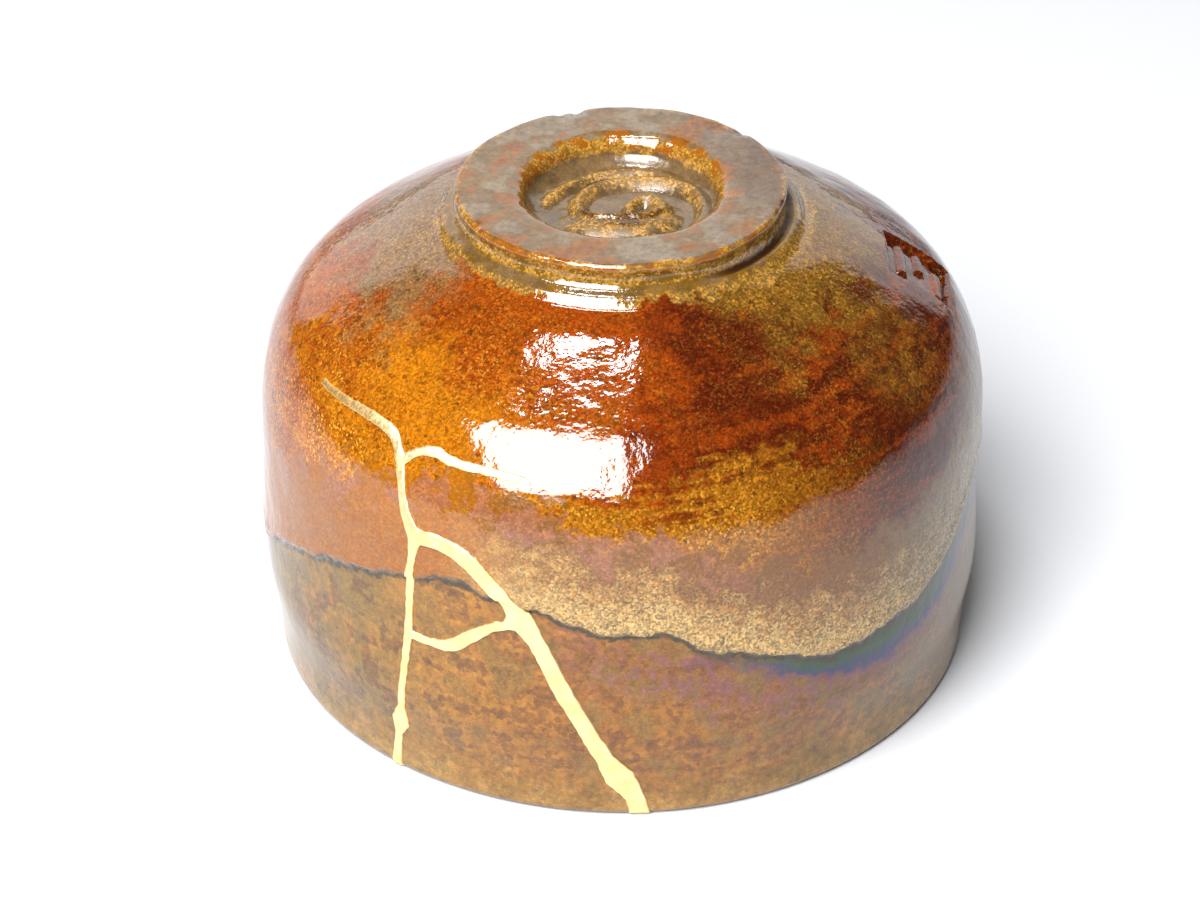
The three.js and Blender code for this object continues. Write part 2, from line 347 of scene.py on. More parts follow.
def finish_with(piece, kind, **settings):
    """Adds a modifier with these settings and applies it."""
    take(piece)
    modifier = piece.modifiers.new(kind.title(), kind)
    for name, value in settings.items():
        setattr(modifier, name, value)
    bpy.ops.object.modifier_apply(modifier=modifier.name)


def refine(piece, chosen, cuts):
    """Cuts the chosen faces into finer ones; chosen takes the faces' middles in millimetres."""
    take(piece)
    middles = np.empty(3 * len(piece.data.polygons), np.float32)
    piece.data.polygons.foreach_get("center", middles)
    bpy.ops.object.mode_set(mode="EDIT")
    bpy.ops.mesh.select_mode(type="FACE")
    bpy.ops.mesh.select_all(action="DESELECT")
    close_up()
    piece.data.polygons.foreach_set("select", chosen(middles.reshape(-1, 3) / MM))
    bpy.ops.object.mode_set(mode="EDIT")
    bpy.ops.mesh.subdivide(number_cuts=cuts)
    close_up()


def swell(piece, name, height, share, direction="NORMAL", texture=None):
    """Moves points out by height (metres) times their share, painted as a vertex group."""
    group = piece.vertex_groups.new(name=name)
    for index in np.nonzero(share > 0.001)[0]:
        group.add([int(index)], float(share[index]), "REPLACE")
    settings = {"mid_level": 0}
    if texture:
        settings = {"texture": texture, "texture_coords": "LOCAL", "mid_level": 0.5}
    finish_with(piece, "DISPLACE", strength=height, vertex_group=name, direction=direction, **settings)
    piece.vertex_groups.remove(piece.vertex_groups[name])


def distance_to_route(points, route):
    """Distance to a route of [x, y, height, half width], and its height and half width there."""
    best = np.full(len(points), 1e9)
    height, width = np.zeros(len(points)), np.ones(len(points))
    curve = spline_through(route, 6)
    for start, end in zip(curve, curve[1:]):
        along = end[:2] - start[:2]
        t = np.clip(((points[:, :2] - start[:2]) @ along) / (along @ along), 0, 1)
        away = np.linalg.norm(points[:, :2] - start[:2] - t[:, None] * along, axis=1)
        nearer = away < best
        best[nearer] = away[nearer]
        height[nearer] = (start[2] + t * (end[2] - start[2]))[nearer]
        width[nearer] = (start[3] + t * (end[3] - start[3]))[nearer]
    return best, height, width


def ridge_height(points, route, sharpness):
    away, height, width = distance_to_route(points, route)
    return height * np.clip(1 - (away / (1.25 * width)) ** sharpness, 0, 1)


# -------------------- the bowl

def throw_bowl(form):
    """Draws the bowl's section and turns it on the wheel."""
    outline = [(x, 0, z) for x, z in bowl_outline(form.ring_spacing / MM)]
    bowl = draw_chain("Bowl", outline)
    open_all(bowl)
    bpy.ops.mesh.spin(steps=form.turns, angle=2 * math.pi, center=(0, 0, 0), axis=(0, 0, 1))
    bpy.ops.mesh.select_all(action="SELECT")
    bpy.ops.mesh.remove_doubles(threshold=0.001 * MM)
    bpy.ops.mesh.normals_make_consistent(inside=False)
    close_up()
    points = points_of(bowl)
    azimuth = np.arctan2(points[:, 0], -points[:, 1])
    points[:, :2] *= (1 + unevenness(azimuth, points[:, 2]) / WIDEST)[:, None]
    place_points(bowl, points)
    return bowl


def wear_foot(bowl):
    """Leaves the foot's edges a little wavy and chipped."""
    points = points_of(bowl)
    radius, z = np.hypot(points[:, 0], points[:, 1]), points[:, 2].copy()
    azimuth = np.arctan2(points[:, 0], -points[:, 1])
    worn_from = HEIGHT - 3.4
    ring = (z > worn_from) & (radius > RECESS_RADIUS - 0.5) & (radius < FOOT_RADIUS + 1)
    high = ease(worn_from, HEIGHT - 1, z)
    for i in np.nonzero(ring)[0]:
        place = Vector((math.cos(azimuth[i]), math.sin(azimuth[i]), points[i, 2] / 20))
        wave = noise(place * 4) + 0.5 * noise(place * 9) + 0.25 * noise(place * 24)
        points[i, :2] *= 1 + high[i] * 0.3 * wave / radius[i]
        dip = 0.16 * noise(Vector(points[i]) * 0.16) + 0.04 * noise(Vector(points[i]) * 0.9)
        points[i, 2] += high[i] * dip
    side = ease(18, 45, np.degrees(azimuth)) * ease(125, 95, np.degrees(azimuth))
    groove_radius, groove_width, groove_depth = 27, 0.6, 1.1
    groove = side * np.exp(-((radius - groove_radius) / groove_width) ** 2)
    points[:, 2] -= groove_depth * groove * (points[:, 2] > 74) * (points[:, 2] < 80.2)
    for turn, out, depth, size in CHIPS:
        turn = math.radians(turn)
        middle = np.array([out * math.sin(turn), -out * math.cos(turn), HEIGHT])
        near = np.exp(-(np.linalg.norm(points - middle, axis=1) / size) ** 2)
        points[:, 2] -= depth * near
        points[:, :2] *= (1 - 0.5 * depth * near / radius.clip(1))[:, None]
    place_points(bowl, points)


def seal_place():
    """Middle of the seal, and the directions along it, up it and out of it."""
    azimuth, z = math.radians(90.5), 0.802 * HEIGHT
    slope = float(side_radius(z + 2) - side_radius(z - 2)) / 4
    radial = Vector((math.sin(azimuth), -math.cos(azimuth), 0))
    along = Vector((math.cos(azimuth), math.sin(azimuth), 0))
    outwards = (radial - slope * Vector((0, 0, 1))).normalized()
    return radial * float(side_radius(z)) + Vector((0, 0, z)), along, outwards.cross(along), outwards


def press_seal(bowl, form):
    """Presses a square with rows of short raised strokes into the shoulder."""
    middle, along, upwards, outwards = (np.array(v) for v in seal_place())
    half = form.seal_size / MM / 2

    def local(points):
        return (points - middle) @ along, (points - middle) @ upwards, (points - middle) @ outwards

    def near(points):
        x, y, out = local(points)
        return (np.maximum(abs(x), abs(y)) < half + 1.2) & (abs(out) < 4)

    refine(bowl, near, 3)
    x, y, out = local(points_of(bowl))
    edge, stroke_edge = 0.35, 0.3
    square = ease(-edge, edge, half - np.maximum(abs(x), abs(y))) * (abs(out) < 4)
    strokes, row_gap, half_thickness = np.zeros(len(x)), 3.6, 0.7
    for row, (middle_x, length) in enumerate([(-1.6, 7.4), (1.8, 5.6), (0.2, 8.6)]):
        inside = np.minimum(length / 2 - abs(x - middle_x), half_thickness - abs(y - (row - 1) * row_gap))
        strokes = np.maximum(strokes, ease(-stroke_edge, stroke_edge, inside))
    swell(bowl, "seal", -form.seal_depth, square * (1 - 0.6 * strokes))


def carve_swirl(bowl):
    """Leaves the swirl standing on the floor of the recess."""
    points = points_of(bowl)
    radius = np.hypot(points[:, 0], points[:, 1])
    low = (points[:, 2] > RECESS_FLOOR - 0.2) & (points[:, 2] < HEIGHT - 3.2)
    floor = low & (radius < RECESS_RADIUS - 0.4)
    on_floor = points[floor]
    rise = np.maximum(ridge_height(on_floor, SWIRL, 1.5), ridge_height(on_floor, OUTER_SWIRL, 1.5))
    rise = np.maximum(rise, ridge_height(on_floor, APRON, 1.8))
    tallest = 2.4
    share = np.zeros(len(points))
    share[floor] = rise / tallest * ease(0, 1.2, RECESS_RADIUS - radius[floor])
    swell(bowl, "swirl", tallest * MM, share, direction="Z")


def lay_glaze(bowl, form):
    """Builds up the thick glaze above its line, a little fatter at the edge, and lets it lie unevenly."""
    def near(points):
        radius = np.hypot(points[:, 0], points[:, 1])
        line = glaze_line(np.arctan2(points[:, 0], -points[:, 1]))
        return (abs(points[:, 2] - line) < 2.6) & (radius > WIDEST - 4)

    refine(bowl, near, 2)
    points = points_of(bowl)
    radius = np.hypot(points[:, 0], points[:, 1])
    outside = (radius > side_radius(points[:, 2]) - 1.5) | (points[:, 2] > 0.75 * HEIGHT)
    above = above_glaze_line(points)
    bead = 0.35 * np.exp(-((above - 1.3) / 1.1) ** 2)
    thinning = 1 - 0.45 * ease(6, 26, above)
    share = ease(-0.35, 0.45, above) * (thinning + bead) / 1.35 * outside
    share *= ease(0.93 * HEIGHT, 0.9 * HEIGHT, points[:, 2])
    swell(bowl, "glaze", 1.35 * form.glaze_thickness, share)
    lump_texture = bpy.data.textures.new("Glaze lumps", "CLOUDS")
    lump_texture.noise_scale = 5 * MM
    lump_texture.noise_depth = 2
    clear_of_ends = (points[:, 2] > 2) * (points[:, 2] < 0.99 * HEIGHT)
    thick = outside * (0.25 + 0.75 * ease(-0.5, 1, above)) * clear_of_ends
    swell(bowl, "lumps", form.lumps, thick, texture=lump_texture)


# -------------------- the break and the mend

def crack_lines(name, thickness):
    """The cracks laid out flat: x along the side at its widest radius, y up it, z out of it."""
    lines = bpy.data.curves.new(name, "CURVE")
    lines.dimensions = "3D"
    lines.resolution_u = 5
    lines.bevel_depth = thickness
    lines.bevel_resolution = 4
    lines.use_fill_caps = True
    for stations in CRACKS.values():
        line = lines.splines.new("BEZIER")
        line.bezier_points.add(len(stations) - 1)
        for point, (azimuth, z, width) in zip(line.bezier_points, stations):
            point.co = (math.radians(azimuth) * WIDEST * MM, z * MM, 0)
            point.radius = width / 2
            point.handle_left_type = point.handle_right_type = "AUTO"
    piece = bpy.data.objects.new(name, lines)
    bpy.context.scene.collection.objects.link(piece)
    take(piece)
    bpy.ops.object.convert(target="MESH")
    return bpy.context.object


def crack_curtain(name, top, bottom, thickness):
    """A thin wall standing on every crack's line, laid out flat, from one depth to another."""
    curtain = crack_lines(name, 0)
    open_all(curtain)
    bpy.ops.mesh.remove_doubles(threshold=0.01 * MM)
    bpy.ops.mesh.select_all(action="SELECT")
    bpy.ops.transform.translate(value=(0, 0, top * MM))
    bpy.ops.mesh.extrude_region_move(TRANSFORM_OT_translate={"value": (0, 0, (bottom - top) * MM)})
    close_up()
    finish_with(
        curtain, "SOLIDIFY", thickness=thickness, offset=0, solidify_mode="NON_MANIFOLD",
        nonmanifold_thickness_mode="EVEN")
    return curtain


def bend_round(piece, radius_at):
    """Bends a piece that is laid out flat round the bowl; radius_at gives each point's radius."""
    points = points_of(piece)
    azimuth = points[:, 0] / WIDEST
    radius = radius_at(azimuth, points[:, 1], points[:, 2])
    place_points(piece, np.stack([radius * np.sin(azimuth), -radius * np.cos(azimuth), points[:, 1]], axis=1))


def break_bowl(bowl, form):
    """Cuts the cracks through the wall and returns the bowl and its two loose shards."""
    tree, highest, deepest = surface_of(bowl), 3, -14
    curtain = crack_curtain("Cracks", highest, deepest, form.slit)
    bend_round(curtain, lambda azimuth, z, out: outer_radius(tree, azimuth, z) + out)
    turn_outwards(curtain)
    finish_with(bowl, "BOOLEAN", operation="DIFFERENCE", solver="MANIFOLD", object=curtain)
    bpy.data.objects.remove(curtain)
    open_all(bowl)
    bpy.ops.mesh.separate(type="LOOSE")
    close_up()
    pieces = sorted(bpy.context.selected_objects, key=lambda piece: len(piece.data.vertices), reverse=True)
    if len(pieces) != 3:
        raise RuntimeError(f"The cracks make {len(pieces)} pieces, not a bowl and two shards")
    for piece, name in zip(pieces, ("Bowl", "Rim_shard", "Wall_shard")):
        piece.name = piece.data.name = name
    return pieces


def surface_of(piece):
    """The piece's surface, to be measured with rays."""
    return BVHTree.FromObject(piece, bpy.context.evaluated_depsgraph_get())


def measure_radius(tree, azimuth, z, start, direction):
    """Radius in millimetres at which rays at each azimuth and height meet the surface."""
    radii = np.empty(len(z))
    for i, (turn, height) in enumerate(zip(azimuth, z)):
        radial = Vector((math.sin(turn), -math.cos(turn), 0))
        origin = radial * start * MM + Vector((0, 0, max(height, 0.02) * MM))
        hit = tree.ray_cast(origin, radial * direction)[0]
        radii[i] = hit.xy.length / MM
    return radii


def outer_radius(tree, azimuth, z):
    return measure_radius(tree, azimuth, z, 1.5 * WIDEST, -1)


def inner_radius(tree, azimuth, z):
    return measure_radius(tree, azimuth, z, 0, 1)


def lay_bead(name, form, keep, side):
    """Melts the cracks' lines into one bead, laid out flat, low and crisp on the side that shows."""
    bead = crack_lines(name, MM)
    finish_with(bead, "REMESH", mode="VOXEL", voxel_size=form.voxel)
    finish_with(bead, "SMOOTH", factor=0.5, iterations=3)
    points = points_of(bead)
    elsewhere = Vector((31, 7, 3))
    wander = np.array([[noise(Vector(p) * 0.8), noise(Vector(p) * 0.8 + elsewhere)] for p in points])
    points[:, :2] += 0.14 * wander
    height, depth = form.bead_height / MM, 0.2
    waves = np.array([1 + 0.25 * noise(Vector(p) * 0.5) for p in points])
    out = points[:, 2]
    points[:, 2] = side * np.where(
        out > 0, height * waves * np.tanh(out / height), depth * np.tanh(out / depth))
    place_points(bead, points)
    finish_with(bead, "DECIMATE", ratio=keep)
    return bead


def mend(tree, form):
    """Fills the slits with lacquer and lays a low bead of gold over them outside and inside."""
    outside = lay_bead("Gold_seam", form, keep=0.6, side=1)
    inside = lay_bead("Inner bead", form, keep=0.2, side=-1)
    filling = crack_curtain("Filling", -0.05, -1, form.slit * 0.9)
    bend_round(outside, lambda azimuth, z, out: outer_radius(tree, azimuth, z) + out)
    bend_round(inside, lambda azimuth, z, out: inner_radius(tree, azimuth, z) + out)
    bend_round(
        filling, lambda azimuth, z, out: np.where(
            out > -0.5, outer_radius(tree, azimuth, z) + 0.05, inner_radius(tree, azimuth, z) - 0.05))
    for part in (outside, inside, filling):
        turn_outwards(part)
    for part in (inside, filling):
        finish_with(outside, "BOOLEAN", operation="UNION", solver="MANIFOLD", object=part)
        bpy.data.objects.remove(part)
    open_all(outside)
    bpy.ops.mesh.bisect(plane_co=(0, 0, 0), plane_no=(0, 0, 1), use_fill=True, clear_inner=True)
    close_up()
    return outside


# -------------------- materials

class Value:
    """An output socket of a recipe's node, which can be reckoned with as a number."""

    def __init__(self, recipe, socket):
        self.recipe, self.socket = recipe, socket

    def math(self, operation, *values):
        return self.recipe.node("ShaderNodeMath", {"operation": operation}, dict(enumerate(values)))

    def __add__(self, other):
        return self.math("ADD", self, other)

    def __sub__(self, other):
        return self.math("SUBTRACT", self, other)

    def __rsub__(self, other):
        return self.math("SUBTRACT", other, self)

    def __mul__(self, other):
        return self.math("MULTIPLY", self, other)

    def __truediv__(self, other):
        return self.math("DIVIDE", self, other)

    def __pow__(self, other):
        return self.math("POWER", self, other)

    def __abs__(self):
        return self.math("ABSOLUTE", self)

    __radd__ = __add__
    __rmul__ = __mul__

    def most(self, other):
        return self.math("MAXIMUM", self, other)

    def rise(self, low, high):
        """0 at low, 1 at high, with a smooth rise between; low may be the greater."""
        sockets = {"Value": self, "From Min": low, "From Max": high}
        return self.recipe.node("ShaderNodeMapRange", {"interpolation_type": "SMOOTHSTEP"}, sockets)


class Recipe:
    """The nodes of one material, or of the world."""

    def __init__(self, owner):
        self.owner = owner
        owner.use_nodes = True
        self.tree = owner.node_tree
        self.tree.nodes.clear()

    def node(self, kind, settings=None, sockets=None, output=0):
        """Adds a node, sets it up, and returns one of its outputs if it has any."""
        node = self.tree.nodes.new(kind)
        for name, setting in (settings or {}).items():
            if name == "stops":
                self.set_stops(node.color_ramp, setting)
            else:
                setattr(node, name, setting)
        for socket, value in (sockets or {}).items():
            if isinstance(value, Value):
                self.tree.links.new(value.socket, node.inputs[socket])
            elif node.inputs[socket].type == "RGBA":
                node.inputs[socket].default_value = (*value, 1)
            else:
                node.inputs[socket].default_value = value
        return Value(self, node.outputs[output]) if node.outputs else None

    @staticmethod
    def set_stops(ramp, stops):
        """Gives a colour ramp these stops, each a share of its length and a colour."""
        while len(ramp.elements) < len(stops):
            ramp.elements.new(1)
        for element, (position, colour) in zip(ramp.elements, stops):
            element.position, element.color = position, (*colour, 1)

    def ramp(self, value, low, high, *stops):
        """Colours along a value that runs from low to high, each given as a value and a colour."""
        share = (value - low) * (1 / (high - low))
        stops = [((at - low) / (high - low), colour) for at, colour in stops]
        return self.node("ShaderNodeValToRGB", {"stops": stops}, {"Fac": share})

    def grains(self, place, size):
        """Two random numbers from 0 to 1 for each grain of this size."""
        sockets = {"Vector": place, "Scale": 1 / size, "Randomness": 1}
        return self.parts(self.node("ShaderNodeTexVoronoi", {}, sockets, "Color"))[:2]

    def vector(self, operation, sockets, output=0):
        """An operation on a vector."""
        return self.node("ShaderNodeVectorMath", {"operation": operation}, sockets, output)

    def shade(self, colour, amount):
        """A colour made lighter or darker."""
        return self.vector("SCALE", {0: colour, "Scale": amount})

    def place(self):
        """Place on the piece in millimetres."""
        metres = self.node("ShaderNodeTexCoord", output="Object")
        return self.vector("SCALE", {0: metres, "Scale": 1 / MM})

    def parts(self, vector):
        """The three numbers of a vector."""
        return [self.node("ShaderNodeSeparateXYZ", sockets={0: vector}, output=axis) for axis in "XYZ"]

    def clouds(self, place, size, detail=2, stretch=None):
        """Uneven patches about size millimetres across, from 0 to 1."""
        if stretch:
            place = self.vector("MULTIPLY", {0: place, 1: stretch})
        sockets = {"Vector": place, "Scale": 1 / size, "Detail": detail}
        return self.node("ShaderNodeTexNoise", {}, sockets).rise(0.3, 0.7)

    def specks(self, place, spacing, size, seed):
        """Small round specks, size millimetres across, in about half of the cells of this spacing."""
        shifted = self.vector("ADD", {0: place, 1: (seed, seed, seed)})
        sockets = {"Vector": shifted, "Scale": 1 / spacing, "Randomness": 1}
        distance = self.node("ShaderNodeTexVoronoi", {"feature": "F1"}, sockets)
        return distance.rise(0.5 * size / spacing, 0.25 * size / spacing)

    def spot(self, place, azimuth, z, size):
        """1 in the middle of a soft round patch on the side, 0 outside it."""
        turn, radius = math.radians(azimuth), float(side_radius(z))
        middle = (radius * math.sin(turn), -radius * math.cos(turn), z)
        away = self.vector("DISTANCE", {0: place, 1: middle}, "Value")
        return away.rise(size, 0.3 * size)

    def blend(self, share, under, over):
        """One colour over another."""
        sockets = {0: share, 6: under, 7: over}
        return self.node("ShaderNodeMix", {"data_type": "RGBA"}, sockets, 2)

    def bump(self, height):
        """Normals of a relief whose height is in millimetres."""
        return self.node("ShaderNodeBump", {}, {"Height": height, "Distance": MM, "Strength": 1})

    def finish(self, sockets):
        """Closes a material with one surface that has these values, and returns the material."""
        shader = self.node("ShaderNodeBsdfPrincipled", {}, sockets)
        self.node("ShaderNodeOutputMaterial", {}, {"Surface": shader})
        return self.owner


def glaze_material(look):
    """Thick amber glaze that breaks to olive and beige crystals, over a thin lustrous brown one."""
    mix = Recipe(bpy.data.materials.new("Amber crystal glaze"))
    place = mix.place()
    x, y, z = mix.parts(place)
    radius = (x * x + y * y) ** 0.5
    right = x / radius.most(1)
    above = mix.node("ShaderNodeAttribute", {"attribute_name": "above_line"}, output="Fac")
    drifts = mix.clouds(place, 16, 3)
    mottle = mix.clouds(place, 6, 4)
    blotches = mix.clouds(place, 2.4, 3)
    peel = mix.clouds(place, 1.1, 2)
    streaks = mix.clouds(place, 1.8, 4, (0.09, 0.09, 1))
    fleck, tone = mix.grains(place, 0.32)
    flake, flake_tone = mix.grains(place, 0.75)
    sand = 0.4 + fleck * fleck * 1.2 + flake * 0.4
    # The same unevenness as swings about zero, which make edges wander.
    sway, stray, jitter = mottle - 0.5, blotches - 0.5, fleck - 0.5
    thick = above.rise(-0.35, 0.25)

    # The thick glaze: amber that goes from honey to chestnut round the bowl, with a gold-flecked belly (the
    # flecks' brightness partly painted glints) and a painted haze of the pale wall's reflection on the upper left
    # shoulder.
    turn = right + sway * 0.25 + (streaks - 0.5) * 0.2
    amber = mix.ramp(
        turn, -1, 1, (-0.98, look.amber), (-0.75, look.honey), (-0.4, look.honey), (-0.15, look.amber),
        (0.08, look.red_amber), (0.3, look.chestnut), (1, look.chestnut))
    reddened = (z + (drifts - 0.5) * 6 + stray * 2).rise(66.5, 71) * right.rise(0.1, -0.2)
    amber = mix.blend(reddened * 0.85, amber, look.red_amber)
    # Painted reflection: a greyer colour on the upper left shoulder stands in for the haze of the pale wall
    # reflected there.
    painted_wall_haze = (z + sway * 6).rise(67, 72) * (right + stray * 0.1).rise(-0.72, -0.92)
    amber = mix.blend(painted_wall_haze * 0.85, amber, look.foot)
    belly = (z + (streaks - 0.5) * 8 + stray * 4).rise(63, 55.5) * right.rise(0.8, 0.3)
    amber = mix.blend(belly * right.rise(-0.6, -0.2), amber, look.gold_brown)
    reds = right.rise(-0.1, 0.3) * (streaks * 0.7 + blotches * 0.3).rise(0.5, 0.75) * (1 - belly)
    amber = mix.blend(reds * 0.6, amber, look.red_amber)
    olive_patch = mix.spot(place, 60, 66, 14) * (blotches * 0.5 + mottle * 0.4)
    olive_patch += mix.spot(place, 43, 70.3, 3) * 0.7
    olive_shoulder = (z + sway * 6).rise(68, 74) * (right + (drifts - 0.5) * 0.5).rise(0.35, 0.8)
    olive_patch = olive_patch.most(olive_shoulder)
    amber = mix.blend(olive_patch * 0.8, amber, look.olive)
    # Gold crystal flecks; their brightness is partly a painted glint of the lights off the crystals.
    flecked = 0.12 + belly * 0.4 + right.rise(0, -0.5) * 0.2 + olive_patch * 0.2
    amber = mix.shade(amber, 0.12 + sand * 0.72 + (mottle + streaks + blotches) * 0.11)
    amber = mix.blend(tone ** 5 * flecked * (0.4 + drifts), amber, look.fleck)
    amber = mix.blend(flake_tone.rise(0.93, 0.96) * 0.5, amber, look.dark_amber)

    # Towards its edge it breaks into crystals, which are palest and coarsest at the edge.
    depth = above + stray * 4 + sway * 4
    crystals = mix.ramp(
        depth, 0, 24, (0.5, look.pale_crystal), (3, look.pale_crystal), (7, look.crystal),
        (12, look.mauve_crystal), (17, look.mauve_crystal), (20, look.gold_brown))
    crystals = mix.blend(right.rise(0.55, 0.85) * 0.8, crystals, look.grey_crystal)
    crystals = mix.blend(
        mix.spot(place, 26, 52.5, 11) * blotches.rise(0.2, 0.7) * 0.8, crystals, look.olive_crystal)
    crystals = mix.blend(
        right.rise(-0.25, -0.5), crystals, mix.blend(blotches, look.rosy, look.honey))
    coarse = depth.rise(16, 4) * right.rise(-0.5, 0)
    crystals = mix.shade(crystals, 0.95 + (sand - 1) * (0.35 + coarse * 0.75))
    crystals = mix.blend(tone ** 4 * coarse * 0.6, crystals, look.white_fleck)
    broken = depth.rise(20, 15.5)
    upper = mix.blend(broken, amber, crystals)
    lilac_patch = depth.rise(19, 17) * depth.rise(11.5, 14) * mottle.rise(0.42, 0.5) * right.rise(0.45, 0.2)
    upper = mix.blend(lilac_patch * 0.7, upper, mix.shade(look.lilac, 0.6 + sand * 0.4))

    # The thin glaze under the edge, with its lustre, and a painted shadow right under the edge.
    thin = mix.ramp(
        right + sway * 0.4, -1, 1, (-0.95, look.thin_olive), (-0.7, look.thin_olive),
        (-0.45, look.thin_light), (-0.1, look.thin), (0.4, look.thin), (0.8, look.thin_olive))
    thin = mix.blend(drifts.rise(0.35, 0.7) * blotches * 0.6, thin, look.thin_light)
    thin = mix.blend((mottle + (peel - 0.5) * 0.3).rise(0.55, 0.8) * 0.55, thin, look.thin_olive)
    dark = (mottle + (streaks - 0.5) * 0.3 + (peel - 0.5) * 0.4).rise(0.4, 0.15)
    thin = mix.blend(dark * 0.55, thin, look.thin_dark)
    thin = mix.blend((z + sway * 8).rise(9, 0) * 0.75, thin, look.thin_pale)
    under = above + sway * 6
    purple = under.rise(-1.5, -4) * under.rise(-14, -7) * right.rise(-0.35, 0.15)
    thin = mix.blend(purple * (blotches + (peel - 0.5) * 0.5).rise(0.3, 0.7) * 0.7, thin, look.lustre_purple)
    thin = mix.shade(thin, 0.28 + sand * 0.34 + blotches * 0.3 + peel * 0.3 + streaks * 0.14)
    band = (above + stray * 1.6) / (0.35 + right.rise(0, 0.9) * 1.4)
    # The lustre bands end at the top in the edge's painted shadow.
    lustre = mix.ramp(
        band, -6, 0, (-6, look.lustre_purple), (-4.4, look.lustre_purple), (-3.2, look.lustre_blue),
        (-1.8, look.lustre_teal), (-0.4, look.line))
    thin = mix.blend(band.rise(-6, -3) * right.rise(0.1, 0.5) * 0.9, thin, lustre)
    colour = mix.blend(thick, thin, upper)
    # Painted shadow: a dark line right under the thick glaze's edge.
    line = (above + (peel - 0.5) * 0.8).rise(-1.3, -0.5) * above.rise(0.7, 0)
    colour = mix.blend(line * 0.9, colour, look.line)

    # The foot: its worn top and orange lips, the grainy wall, and the pool round it, with a painted shadow in the
    # groove on its right.
    patches = mottle * 0.45 + drifts * 0.4 + blotches * 0.15
    foot = mix.ramp(
        patches, 0, 1, (0.32, look.foot_brown), (0.43, look.foot), (0.52, look.foot), (0.64, look.foot_pale))
    foot = mix.blend(x.rise(4, 24) * y.rise(-16, 0) * 0.75, foot, look.foot_dark)
    foot = mix.blend(patches.rise(0.45, 0.38) * peel.rise(0.4, 0.7) * 0.6, foot, look.foot_brown)
    foot = mix.shade(foot, 0.45 + sand * 0.25 + blotches * 0.3 + peel * 0.3)
    golden = mix.shade(look.foot_gold, 0.1 + sand * 0.9)
    gilt = (blotches * 0.6 + mottle * 0.4 + jitter * 0.3).rise(0.35, 0.65)
    edge_gold = mix.blend(gilt, look.foot_orange, golden)
    wall = mix.blend((blotches + jitter * 0.6).rise(0.2, 0.6), look.olive, golden)
    pool = mix.shade(mix.blend(mottle, look.foot, look.olive), 0.5 + sand * 0.3 + blotches * 0.4)
    rim = (radius + stray).rise(28.3, 29) * (0.3 + fleck * 0.6)
    pool = mix.blend(rim, pool, golden)
    # Painted shadow: dark amber in the groove between the foot ring and the pool on the right, where the ring's
    # shade falls.
    painted_groove_shadow = right.rise(0.35, 0.7) * radius.rise(27.5, 27)
    pool = mix.blend(painted_groove_shadow * 0.9, pool, look.dark_amber)
    edge = radius + sway * 1.6 + stray * 1.2 - right.rise(0.3, 0.8) * 1.5
    colour = mix.blend(edge.rise(29.9, 29.2) * z.rise(72, 74), colour, pool)
    colour = mix.blend((radius + stray * 0.4).rise(27.2, 26.8) * z.rise(78.6, 79.2), colour, wall)
    colour = mix.blend(z.rise(HEIGHT - 1.5, HEIGHT - 1.1), colour, edge_gold)
    colour = mix.blend(
        (radius + stray * 1.2).rise(26.7, 25.7) * z.rise(HEIGHT - 1.4, HEIGHT - 0.9), colour, foot)
    inside = radius.rise(RECESS_RADIUS + 4.6, RECESS_RADIUS + 4)
    mouth = (z + stray * 0.9 + jitter * 0.3).rise(HEIGHT - 0.1, HEIGHT - 0.7) * inside
    colour = mix.blend(mouth, colour, edge_gold)
    crest = (z + stray * 0.5 + jitter * 0.3).rise(RECESS_FLOOR + 0.4, RECESS_FLOOR + 1.2)
    crest = crest * radius.rise(13.4, 12.6)
    floor = mix.shade(mix.blend(mottle, look.recess, look.foot), 0.5 + sand * 0.3 + blotches * 0.4)
    crests = mix.blend((blotches + jitter * 0.8).rise(0.2, 0.7), look.olive, golden)
    front_crest = z.rise(RECESS_FLOOR + 1.4, RECESS_FLOOR + 1.9) * y.rise(-1, -3)
    crests = mix.blend(front_crest * tone.rise(0.95, 0.7) * 0.85, crests, look.dark_amber)
    floor = mix.blend(crest, floor, crests)
    low = (z + stray).rise(HEIGHT - 2.5, HEIGHT - 3.2) * inside
    colour = mix.blend(low * z.rise(70, 74), colour, floor)

    crystal = broken * right.rise(-0.5, -0.1) * thick
    dimples = mix.specks(place, 1.5, 1.0, 5)
    relief = (
        peel * (0.01 + crystal * 0.02) + fleck * (0.0008 + crystal * 0.008) + blotches * 0.022 + mottle * 0.05
        + streaks * 0.008 - dimples * 0.009 * thick)
    grainy = crest * (1 - front_crest) * radius.rise(14, 13)
    rough = 0.06 + (1 - thick) * 0.08 + crystal * 0.16 + low * 0.12 * radius.rise(17, 16) + grainy * 0.35
    return mix.finish({"Base Color": colour, "Roughness": rough, "IOR": 1.63, "Normal": mix.bump(relief)})


def gold_material(look):
    """Gold powder burnished onto lacquer."""
    mix = Recipe(bpy.data.materials.new("Powdered gold"))
    place = mix.place()
    grain = mix.clouds(place, 0.5, 3)
    mottle = mix.clouds(place, 4, 2)
    x, y, z = mix.parts(place)
    colour = mix.blend(mottle * 0.4, look.gold, look.worn_gold)
    colour = mix.blend((x * -1).rise(36, 46) * 0.8, colour, look.worn_gold)
    relief = grain * 0.02 + mottle * 0.05
    return mix.finish({
        "Base Color": colour, "Metallic": 1, "Roughness": 0.42 + grain * 0.1, "Normal": mix.bump(relief)})


